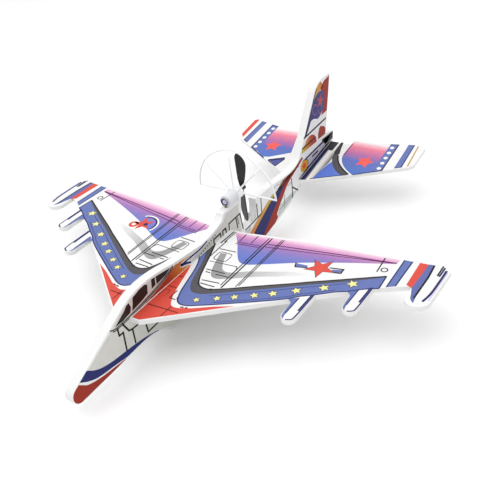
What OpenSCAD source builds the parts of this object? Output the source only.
// Slot-together foam jet with an electric pusher power pod.
// Frame: +X to the port wing tip, +Y to the tail, +Z up.
// The origin is under the middle of the outline, on the surface that the belly rests on.

/* [Fuselage plate] */
// Thickness of the foam sheet that the fuselage and fin are cut from
fuselage_t = 6; // [5:0.5:8]
// Distance from the origin to the nose tip
nose_reach = 154; // [152:1:158]
// Height of the top of the fin above the belly
fin_top = 86; // [82:1:90]
// Height of the top of the motor pylon above the belly
pylon_top = 46.5; // [45:0.5:48]

/* [Wing and tail sheets] */
// Thickness of the wing and tail foam sheet
sheet_t = 3; // [2.5:0.5:3.5]
// Height of the middle of the wing sheet above the belly
wing_z = 30; // [28:1:31]
// Distance from the centre line to the outer side of a tip tank
half_span = 149.5; // [149:0.5:152]
// Height of the middle of the tail sheet above the belly, at its root leading edge
tail_z = 21.4; // [21:0.1:22.5]
// Angle at which the tail sheet rises to the rear
tail_pitch = 9.5; // [8.5:0.5:10]
// Half of the tailplane's span
tail_half_span = 77; // [74:1:80]

/* [Power pod] */
// Outer diameter of the motor can
motor_d = 6; // [6:0.1:6.1]
// Outer diameter of the tube that holds the motor
holder_d = 8; // [7.8:0.1:8.2]
// Diameter of the motor shaft
shaft_d = 0.8; // [0.8:0.1:1]
// Radius of the middle of the guard's rim
guard_r = 30.4; // [29:0.2:32]
// Radius of the guard's wire
guard_wire_r = 0.7; // [0.6:0.05:0.8]
// Radius of the propeller's tips
prop_r = 25.5; // [24:0.5:26]
// Pitch angle of the propeller's blades
prop_pitch = 22; // [15:1:28]

/* [Power module] */
// Length of the power module's case
module_l = 32; // [32:1:34]
// Height of the power module's case
module_h = 18; // [18:1:19]
// Distance from the middle of the fuselage plate to the case's outer face
module_half_w = 8; // [8:0.5:9]
// Wall of the case
module_wall = 1; // [1:0.1:1.2]
// Travel of the switch's knob
switch_travel = 2; // [1.5:0.1:2]

/* [Hidden] */
$fn = 48;

foam = [0.96, 0.96, 0.95];
plastic_white = [0.92, 0.93, 0.93];
steel = [0.72, 0.73, 0.75];
brass = [0.78, 0.64, 0.34];
black = [0.06, 0.06, 0.07];

axis_z = pylon_top + holder_d / 2;
plate_half = fuselage_t / 2;

// Motor: stations along Y
can_y = 2;
can_l = 14.5;
can_wall = 0.3;
can_rear = can_y + can_l;
magnet_y = 6.4;
bush_l = 1.2;
hub_y = 20.4;
hub_l = 4.6;
hub_r = 1.8;
blade_y = 22.8;
blade_t = 0.9;
rim_y = 17;
spoke_y = 13.5;
bend_r = guard_r - 4;
spoke_r = 0.6;

// Holder
holder_y = 3;
holder_l = 14.8;
tongue_y = 7;
tongue_l = 6;
tongue_t = 1.6;
tongue_depth = 8.5;
collar_t = 0.7;
collar_y = 12.4;

// Wing root and tail root, front to back
wing_root_le = -101.5;
wing_root_te = 0;
tail_root_le = 87.5;
tail_root_l = 52.6;
slot_gap = 0.1;
pylon_front = -2.8;
pylon_rear = 14.8;
saddle_h = 1.4;

// Power module
module_y = -42;
module_z = 4;
rim_w = 2;
cell_r = 4;
cell_l = 18;
cell_y = -38;
cell_z = module_z + module_h / 2;
board_x = 4.3;
board_t = 0.8;
socket_y = -16.5;
socket_z = 10;
socket_r = 2.2;
socket_bore_r = 1.25;
socket_l = 5.4;
knob_w = 1.6;
knob_gap = 0.3;
switch_y = -33;
switch_z = 13;
switch_l = 8;
switch_h = 4;
switch_t = 2.5;
knob_y = switch_y + 2.2;
screw_r = 0.9;
shank_r = 0.45;
screw_y = [module_y + 1, module_y + module_l - 1];

// Leads
lead_r = 0.4;
lead_x = 0.6;
lead_z = 16.5;
lead_y = 3.4;
lead_bend = 2;
lead_top = 45.6;
channel_r = 1.3;

// Points of a quadratic curve from a to c that leans to b, without its last point
function curve(a, b, c, n = 6) =
    [for (i = [0:n - 1]) let (t = i / n) (1 - t) * (1 - t) * a + 2 * t * (1 - t) * b + t * t * c];

// Points of an arc about c, without its last point
function arc(c, r, a0, a1, n = 8) =
    [for (i = [0:n - 1]) let (a = a0 + (a1 - a0) * i / n) c + r * [cos(a), sin(a)]];

// Side view of the fuselage and fin, as points [Y, Z]
nose_r = 5.9;
nose_c = [-nose_reach + nose_r, 12.4];
fuselage_outline = concat(
    [[-68, 0], [22, 0], [61, 8], [75, 11.5], [94, 18]],
    [[141, 22.5], [144, 39.2], [132.4, 41.5], [144.6, fin_top]],
    curve([133, fin_top], [126, fin_top], [120.6, fin_top - 6]),
    [[120.6, fin_top - 6]],
    curve([94.6, 43.6], [90.6, 36.8], [84, 35.8]),
    [[76, 35.4], [48, 37.4]],
    curve([32, 37.5], [32, 22.5], [27, 22.5]),
    curve([19, 22.5], [13, 22.5], [13.4, 30]),
    [[pylon_rear, pylon_top], [pylon_front, pylon_top]],
    curve([-4.4, pylon_top - 0.7], [-6.5, 41], [-16, 39.8]),
    curve([-16, 39.8], [-25, 37.6], [-34, 38.2]),
    curve([-60, 41.8], [-84, 47.4], [-98, 43.4]),
    curve([-98, 43.4], [-107, 40.6], [-116, 35]),
    [[-124, 31.2], [-140, 23.2]],
    arc(nose_c, nose_r, 110, 262),
    [[-148, 6.5], [-118, 7.6], [-104, 8.6]],
    curve([-96, 9], [-82, 8.6], [-74, 3]),
    curve([-74, 3], [-71.5, 0.6], [-68, 0])
);

// Plan of the port half of the wing, without its tongues and tank, as points [X, Y]
wing_half = [
    [0, wing_root_le], [10, wing_root_le], [89, -39.9], [116, -20.2], [134.6, -9.4],
    [139, 16], [121, 13.8], [91, 11], [60, 8.6], [40, 5.2], [17, 1], [0, wing_root_te]
];
tongues = [[85, -61.5, 4.4], [112, -40.8, 4.3]];
tongue_root = 24;
tank_r = 7.2;
tank_front = -18.8;
tank_rear = 10.5;

// Plan of the port half of the tail, as points [X, distance behind the root's leading edge]
tail_half = [
    [0, 0], [3.2, 0], [tail_half_span - 3, 37.8], [tail_half_span, 41.6], [tail_half_span, 62.6],
    [tail_half_span - 3.5, 66.2], [50, 62.6], [22, 54], [10, tail_root_l], [0, tail_root_l]
];

// A solid drawn in the side view [Y, Z], as thick as t and centred on the middle plane
module side_view(t) {
    rotate([90, 0, 90])
        translate([0, 0, -t / 2])
            linear_extrude(t)
                children();
}

module along_y(y, l, r, x = 0, z = axis_z) {
    translate([x, y + l, z])
        rotate([90, 0, 0])
            cylinder(h = l, r = r);
}

module mirrored_pair() {
    children();
    mirror([1, 0, 0])
        children();
}

// The plan whose port half is given, from the front of the centre line round to its rear
module both_sides(half) {
    last = len(half) - 2;
    polygon(concat(half, [for (i = [last:-1:1]) [-half[i][0], half[i][1]]]));
}

module box(lo, hi) {
    translate(lo)
        cube(hi - lo);
}

// Places a solid on the tail sheet's middle plane, from its root leading edge
module on_tail() {
    translate([0, tail_root_le, tail_z])
        rotate([tail_pitch, 0, 0])
            children();
}

// Foam airframe

module fuselage_plate() {
    color(foam)
        difference() {
            side_view(fuselage_t)
                polygon(fuselage_outline);
            box([-5, wing_root_le - slot_gap, wing_z - sheet_t / 2],
                [5, wing_root_te + slot_gap, wing_z + sheet_t / 2]);
            on_tail()
                box([-5, -slot_gap, -sheet_t / 2], [5, tail_root_l + slot_gap, sheet_t / 2]);
            box([-5, module_y + rim_w, module_z + rim_w],
                [5, module_y + module_l - rim_w, module_z + module_h - rim_w]);
            box([-tongue_t / 2, tongue_y, pylon_top - tongue_depth],
                [tongue_t / 2, tongue_y + tongue_l, pylon_top + 1]);
            along_y(module_y + module_l - rim_w - 1, lead_y - module_y - module_l + rim_w + 1,
                channel_r, 0, lead_z);
            translate([0, lead_y, lead_z - channel_r])
                cylinder(h = pylon_top - lead_z + channel_r + 1, r = channel_r);
            for (y = screw_y)
                translate([-5, y, cell_z])
                    rotate([0, 90, 0])
                        cylinder(h = 10, r = shank_r);
        }
}

// Plan of the port wing's two tongues and its tip tank
module wing_stores() {
    for (g = tongues) {
        translate([g[0], g[1]])
            circle(r = g[2]);
        translate([g[0] - g[2], g[1]])
            square([2 * g[2], tongue_root]);
    }
    for (y = [tank_front, tank_rear])
        translate([half_span - tank_r, y])
            circle(r = tank_r);
    translate([half_span - 2 * tank_r, tank_front])
        square([2 * tank_r, tank_rear - tank_front]);
}

module wing_panel() {
    color(foam)
        translate([0, 0, wing_z - sheet_t / 2])
            linear_extrude(sheet_t) {
                both_sides(wing_half);
                mirrored_pair()
                    wing_stores();
            }
}

module tailplane_panel() {
    color(foam)
        on_tail()
            translate([0, 0, -sheet_t / 2])
                linear_extrude(sheet_t)
                    both_sides(tail_half);
}

// Power pod

module motor_holder() {
    color(plastic_white)
        difference() {
            union() {
                along_y(holder_y, holder_l, holder_d / 2);
                box([-plate_half, holder_y, pylon_top], [plate_half, pylon_rear, pylon_top + saddle_h]);
                box([-tongue_t / 2, tongue_y, pylon_top - tongue_depth],
                    [tongue_t / 2, tongue_y + tongue_l, pylon_top + 1]);
            }
            along_y(holder_y - 1, holder_l + 2, motor_d / 2);
            box([-1.3, holder_y - 1, pylon_top - 1], [1.3, lead_y + 1.1, axis_z]);
        }
}

// A straight rod between two points [X, Z] at stations y0 and y1
module rod(a, y0, b, y1, r) {
    p = [a[0], y0, a[1]];
    q = [b[0], y1, b[1]];
    d = q - p;
    l = norm(d);
    translate(p)
        rotate([0, acos(d[2] / l), atan2(d[1], d[0])])
            cylinder(h = l, r = r);
}

module ball(p, y, r) {
    translate([p[0], y, p[1]])
        sphere(r = r);
}

module prop_guard() {
    inner = holder_d / 2;
    centre = [0, axis_z];
    color(plastic_white)
        difference() {
            union() {
                translate([0, rim_y, axis_z])
                    rotate([90, 0, 0])
                        rotate_extrude(angle = 180, $fn = 96)
                            translate([guard_r, 0])
                                circle(r = guard_wire_r, $fn = 24);
                for (s = [-1, 1]) {
                    rod([s * (inner - 0.5), axis_z], rim_y, [s * guard_r, axis_z], rim_y, spoke_r);
                    ball([s * guard_r, axis_z], rim_y, guard_wire_r + 0.05);
                }
                for (a = [45, 90, 135]) {
                    u = [cos(a), sin(a)];
                    rod(centre + u * (inner - 0.5), spoke_y, centre + u * bend_r, spoke_y, spoke_r);
                    rod(centre + u * bend_r, spoke_y, centre + u * guard_r, rim_y, spoke_r);
                    ball(centre + u * bend_r, spoke_y, spoke_r + 0.05);
                }
                along_y(collar_y, rim_y + guard_wire_r + 0.2 - collar_y, inner + collar_t);
            }
            along_y(collar_y - 1, 8, inner);
            box([-10, collar_y - 1, axis_z - 8], [10, rim_y + 2, axis_z - 2]);
        }
}

module motor_can() {
    color(steel)
        difference() {
            along_y(can_y, can_l, motor_d / 2);
            along_y(can_y - 1, can_l + 1 - can_wall, motor_d / 2 - can_wall);
            along_y(can_rear - 2, 4, 0.9);
            box([-1.3, can_y - 1, axis_z - 4], [1.3, can_y + 2.6, axis_z - 2]);
        }
}

module motor_end_cap() {
    color([0.1, 0.14, 0.3])
        difference() {
            union() {
                along_y(can_y + 0.5, 2, motor_d / 2 - can_wall);
                along_y(can_y - 0.1, 1, 1.3);
            }
            along_y(can_y + 1.9, 2, shaft_d / 2 + 0.05);
            for (x = [-lead_x, lead_x])
                box([x - 0.35, can_y + 1, axis_z - 4], [x + 0.35, can_y + 1.8, axis_z - 1.6]);
        }
}

module terminal(x) {
    color(brass)
        box([x - 0.35, can_y + 1, lead_top], [x + 0.35, can_y + 1.8, axis_z - 1.6]);
}

module terminal_port() {
    terminal(lead_x);
}

module terminal_starboard() {
    terminal(-lead_x);
}

module motor_magnet() {
    color([0.45, 0.45, 0.47])
        difference() {
            along_y(magnet_y, can_rear - can_wall - magnet_y, 1.7);
            along_y(magnet_y - 1, can_l, 0.9);
        }
}

module bush(y) {
    color(brass)
        difference() {
            along_y(y, bush_l, 0.9);
            along_y(y - 1, bush_l + 2, shaft_d / 2 + 0.04);
        }
}

module rear_bush() {
    bush(can_rear - 0.4);
}

module front_bush() {
    bush(magnet_y);
}

module motor_shaft() {
    color(steel)
        along_y(can_y + 2.1, hub_y + hub_l - can_y - 1.7, shaft_d / 2);
}

module rotor_coil() {
    color([0.72, 0.4, 0.2])
        difference() {
            along_y(can_y + 3.4, 9.6, 2.45);
            along_y(can_y + 3.9, 12, 1.9);
            along_y(can_y + 2, 4, 0.8);
        }
}

module commutator() {
    color([0.8, 0.55, 0.3])
        difference() {
            along_y(can_y + 2.8, 1.1, 0.8);
            along_y(can_y + 2, 4, shaft_d / 2);
        }
}

// One blade seen along the shaft: a straight edge on one side, a round belly on the other
module blade_outline() {
    polygon(concat(
        [[-1.2, 0.9], [-2.1, 7], [-2.3, prop_r - 3]],
        curve([-2.3, prop_r - 3], [-2.1, prop_r - 0.4], [-0.8, prop_r]),
        curve([-0.8, prop_r], [3.8, prop_r - 2.2], [4.5, prop_r - 8.5], 8),
        curve([4.5, prop_r - 8.5], [3.8, 9], [1.2, 1.6], 8)
    ));
}

module propeller() {
    color(black)
        difference() {
            union() {
                along_y(hub_y, hub_l, hub_r);
                for (turn = [0, 180])
                    translate([0, blade_y, axis_z])
                        rotate([0, turn, 0])
                            rotate([0, 0, prop_pitch])
                                translate([0, blade_t / 2, 0])
                                    rotate([90, 0, 0])
                                        linear_extrude(blade_t)
                                            blade_outline();
            }
            along_y(hub_y - 1, hub_l + 0.4, shaft_d / 2);
            box([-2.4, hub_y - 3, axis_z - 2.4], [2.4, hub_y, axis_z + 2.4]);
        }
}

// Power module, clamped through a window in the fuselage plate

// The port half of the case, open towards the middle plane
module case_half() {
    w = module_wall;
    difference() {
        union() {
            box([plate_half, module_y, module_z],
                [module_half_w, module_y + module_l, module_z + module_h]);
            box([0, module_y + rim_w, module_z + rim_w],
                [plate_half + 0.5, module_y + module_l - rim_w, module_z + module_h - rim_w]);
        }
        box([-1, module_y + rim_w + w, module_z + rim_w + w],
            [module_half_w - w, module_y + module_l - rim_w - w, module_z + module_h - rim_w - w]);
    }
}

module case_port() {
    color(plastic_white)
        difference() {
            case_half();
            translate([module_half_w - 3, socket_y, module_z + 12.5])
                rotate([0, 90, 0])
                    cylinder(h = 5, r = 1.5);
            lead_exit();
            for (y = screw_y)
                translate([-1, y, cell_z])
                    rotate([0, 90, 0])
                        cylinder(h = module_half_w - 1, r = shank_r);
        }
}

module case_starboard() {
    color(plastic_white)
        difference() {
            mirror([1, 0, 0])
                case_half();
            translate([-module_half_w - 1, socket_y, socket_z])
                rotate([0, 90, 0])
                    cylinder(h = 4, r = socket_r);
            knob_slot(2);
            lead_exit();
            for (y = screw_y)
                translate([-module_half_w - 1, y, cell_z]) {
                    rotate([0, 90, 0])
                        cylinder(h = module_half_w + 1, r = shank_r);
                    rotate([0, 90, 0])
                        cylinder(h = 1.8, r = screw_r);
                }
        }
}

// The slot that the switch's knob slides in, from the case's outer face inwards
module knob_slot(depth) {
    half = knob_w / 2 + 0.1;
    box([-module_half_w - 1, knob_y - knob_gap, switch_z + switch_h / 2 - half],
        [-module_half_w + depth, knob_y + knob_w + switch_travel + knob_gap,
         switch_z + switch_h / 2 + half]);
}

// Where the leads leave the case
module lead_exit() {
    along_y(module_y + module_l - rim_w - 2, 3, channel_r, 0, lead_z);
}

module case_screw(y) {
    color(steel)
        difference() {
            translate([-module_half_w, y, cell_z])
                rotate([0, 90, 0]) {
                    cylinder(h = 0.8, r = screw_r);
                    cylinder(h = 2 * module_half_w - 2.2, r = shank_r);
                }
            box([-module_half_w - 1, y - 0.15, cell_z - 0.6], [-module_half_w + 0.4, y + 0.15, cell_z + 0.6]);
            box([-module_half_w - 1, y - 0.6, cell_z - 0.15], [-module_half_w + 0.4, y + 0.6, cell_z + 0.15]);
        }
}

module case_screw_front() {
    case_screw(screw_y[0]);
}

module case_screw_rear() {
    case_screw(screw_y[1]);
}

module storage_cell() {
    color([0.12, 0.2, 0.45])
        difference() {
            union() {
                along_y(cell_y, 1.6, cell_r, 0, cell_z);
                along_y(cell_y + 1.5, 1.1, cell_r - 0.35, 0, cell_z);
                along_y(cell_y + 2.5, cell_l - 2.5, cell_r, 0, cell_z);
            }
            along_y(cell_y - 1, 1.3, cell_r - 0.8, 0, cell_z);
        }
}

module circuit_board() {
    color([0.1, 0.4, 0.2])
        box([board_x, module_y + rim_w + module_wall, module_z + rim_w + module_wall],
            [board_x + board_t, module_y + module_l - rim_w - module_wall,
             module_z + module_h - rim_w - module_wall]);
}

module status_lamp() {
    color([0.85, 0.1, 0.08])
        translate([board_x + board_t, socket_y, module_z + 12.5]) {
            rotate([0, 90, 0])
                cylinder(h = 3, r = 1.5);
            translate([3, 0, 0])
                sphere(r = 1.5);
        }
}

module charge_socket() {
    color(black)
        difference() {
            translate([-module_half_w, socket_y, socket_z])
                rotate([0, 90, 0])
                    cylinder(h = socket_l, r = socket_r);
            translate([-module_half_w - 1, socket_y, socket_z])
                rotate([0, 90, 0])
                    cylinder(h = socket_l, r = socket_bore_r);
            translate([-module_half_w, socket_y, socket_z])
                rotate([0, 90, 0])
                    cylinder(h = socket_l + 1, r = 0.35);
        }
}

module socket_contact() {
    color(brass)
        translate([-module_half_w + socket_l - 0.8, socket_y, socket_z])
            rotate([0, 90, 0])
                cylinder(h = 1.6, r = 0.35);
}

module switch_body() {
    x = -module_half_w + module_wall;
    color(steel)
        difference() {
            box([x, switch_y, switch_z], [x + switch_t, switch_y + switch_l, switch_z + switch_h]);
            knob_slot(module_wall + 1.4);
        }
}

module switch_knob() {
    z = switch_z + switch_h / 2;
    color(black)
        box([-module_half_w - 1.3, knob_y, z - knob_w / 2],
            [-module_half_w + module_wall + 1.1, knob_y + knob_w, z + knob_w / 2]);
}

// A lead from the case, back along the plate and up the pylon to its terminal
module lead(x) {
    y0 = module_y + module_l - rim_w - module_wall - 1;
    along_y(y0, lead_y - lead_bend - y0, lead_r, x, lead_z);
    translate([x, lead_y - lead_bend, lead_z + lead_bend])
        rotate([0, 90, 0])
            rotate_extrude(angle = 90)
                translate([lead_bend, 0])
                    circle(r = lead_r, $fn = 24);
    translate([x, lead_y, lead_z + lead_bend])
        cylinder(h = lead_top - lead_z - lead_bend, r = lead_r);
}

module lead_port() {
    color([0.75, 0.08, 0.06])
        lead(lead_x);
}

module lead_starboard() {
    color(black)
        lead(-lead_x);
}

fuselage_plate();
wing_panel();
tailplane_panel();
motor_holder();
prop_guard();
motor_can();
motor_end_cap();
motor_magnet();
rear_bush();
front_bush();
terminal_port();
terminal_starboard();
motor_shaft();
rotor_coil();
commutator();
propeller();
case_port();
case_starboard();
case_screw_front();
case_screw_rear();
storage_cell();
circuit_board();
status_lamp();
charge_socket();
socket_contact();
switch_body();
switch_knob();
lead_port();
lead_starboard();
